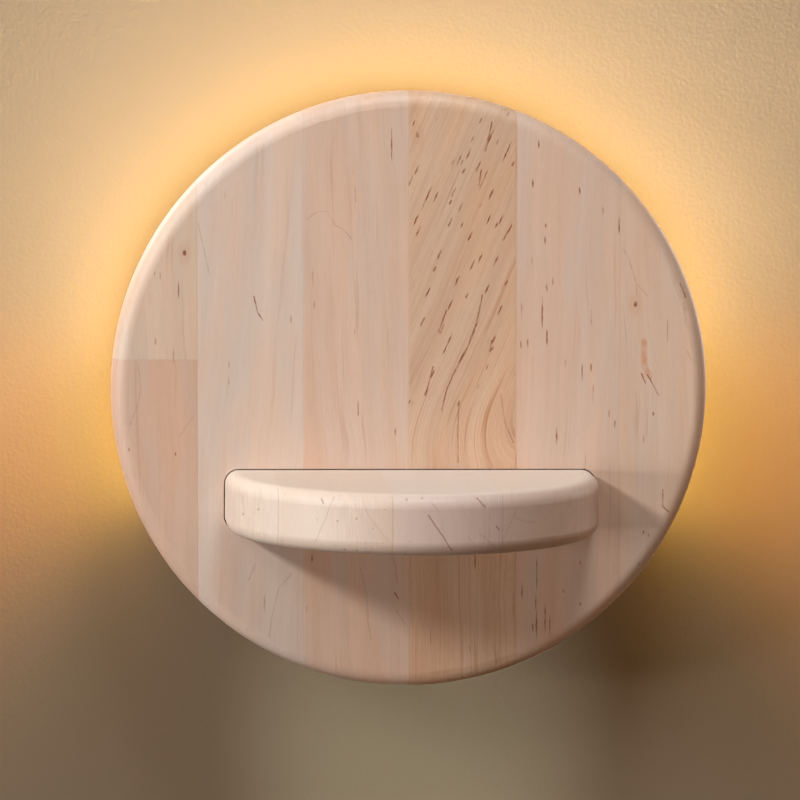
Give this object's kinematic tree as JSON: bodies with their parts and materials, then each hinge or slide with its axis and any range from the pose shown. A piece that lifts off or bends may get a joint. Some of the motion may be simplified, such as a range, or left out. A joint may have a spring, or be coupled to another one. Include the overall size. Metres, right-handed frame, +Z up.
{
  "type": "wall lamp",
  "caption": "Round wooden wall lamp, lit from behind, with a half-moon shelf through a slot in the disc, hung by keyholes on a wall bracket.",
  "frame": {"origin": "the centre of the disc, seen from the front, in the plane of the wall, on the back of the wall bracket", "axes": "+Z up, +X to the right seen from the room, +Y into the wall, so the room is towards -Y"},
  "size_m": [0.28, 0.152, 0.28],
  "materials": {
    "disc_wood": "pale edge-glued birch, sanded and left bare",
    "shelf_wood": "pale birch with end grain on the front edge, sanded and left bare",
    "ring_plywood": "birch plywood with its plies showing on the edge",
    "zinc_steel": "zinc-plated sheet steel, satin",
    "screw_steel": "zinc-plated screws",
    "dark_rubber": "matt black rubber",
    "channel_aluminium": "anodised, satin",
    "grey_plastic": "light grey moulded plastic",
    "strip_white": "white flexible circuit strip",
    "chip_yellow": "warm white light chips",
    "opal_cover": "opal cover, lit warm from inside",
    "white_plastic": "white moulded plastic, fine texture",
    "board_green": "green circuit board",
    "parts_dark": "dark electronic parts",
    "contact_brass": "bare brass",
    "lever_orange": "orange moulded plastic",
    "lead_brown": "brown wire insulation",
    "lead_blue": "blue wire insulation",
    "lead_green": "green and yellow wire insulation",
    "lead_red": "red wire insulation",
    "lead_black": "black wire insulation"
  },
  "bodies": {
    "bracket": {"wall_bracket": "zinc_steel", "hanger_studs": "screw_steel", "cable_grommet": "dark_rubber"},
    "lamp": {"front_disc": "disc_wood", "shelf": "shelf_wood", "shelf_brackets": "zinc_steel", "shelf_screws": "screw_steel", "spacer_ring": "ring_plywood", "ring_screws": "screw_steel", "wall_pads": "dark_rubber", "led_channel": "channel_aluminium", "channel_screws": "screw_steel", "channel_end_caps": "grey_plastic", "led_strip": "strip_white", "led_chips": "chip_yellow", "light_diffuser": "opal_cover", "driver_case": "white_plastic", "driver_lid": "white_plastic", "driver_lid_screws": "screw_steel", "driver_board": "board_green", "driver_parts": "parts_dark", "driver_screws": "screw_steel", "terminal_block": "grey_plastic", "terminal_contacts": "contact_brass", "terminal_screws": "screw_steel", "live_lead": "lead_brown", "neutral_lead": "lead_blue", "earth_lead": "lead_green", "positive_lead": "lead_red", "negative_lead": "lead_black", "earth_terminal": "contact_brass", "earth_screw": "contact_brass", "hanger_rail": "zinc_steel", "rail_screws": "screw_steel"},
    "live_lever": {"lever_live": "lever_orange"},
    "neutral_lever": {"lever_neutral": "lever_orange"},
    "earth_lever": {"lever_earth": "lever_orange"}
  },
  "joints": [
    {"name": "lift_off", "type": "slide", "parent": "bracket", "child": "lamp", "axis": [0, 0, 1], "range_m": [0, 0.012]},
    {"name": "live_lever_swing", "type": "hinge", "parent": "lamp", "child": "live_lever", "pos_m": [-0.012, -0.0227, -0.023], "axis": [-1, 0, 0], "range_deg": [0, 90]},
    {"name": "neutral_lever_swing", "type": "hinge", "parent": "lamp", "child": "neutral_lever", "pos_m": [0, -0.0227, -0.023], "axis": [-1, 0, 0], "range_deg": [0, 90]},
    {"name": "earth_lever_swing", "type": "hinge", "parent": "lamp", "child": "earth_lever", "pos_m": [0.012, -0.0227, -0.023], "axis": [-1, 0, 0], "range_deg": [0, 90]}
  ]
}
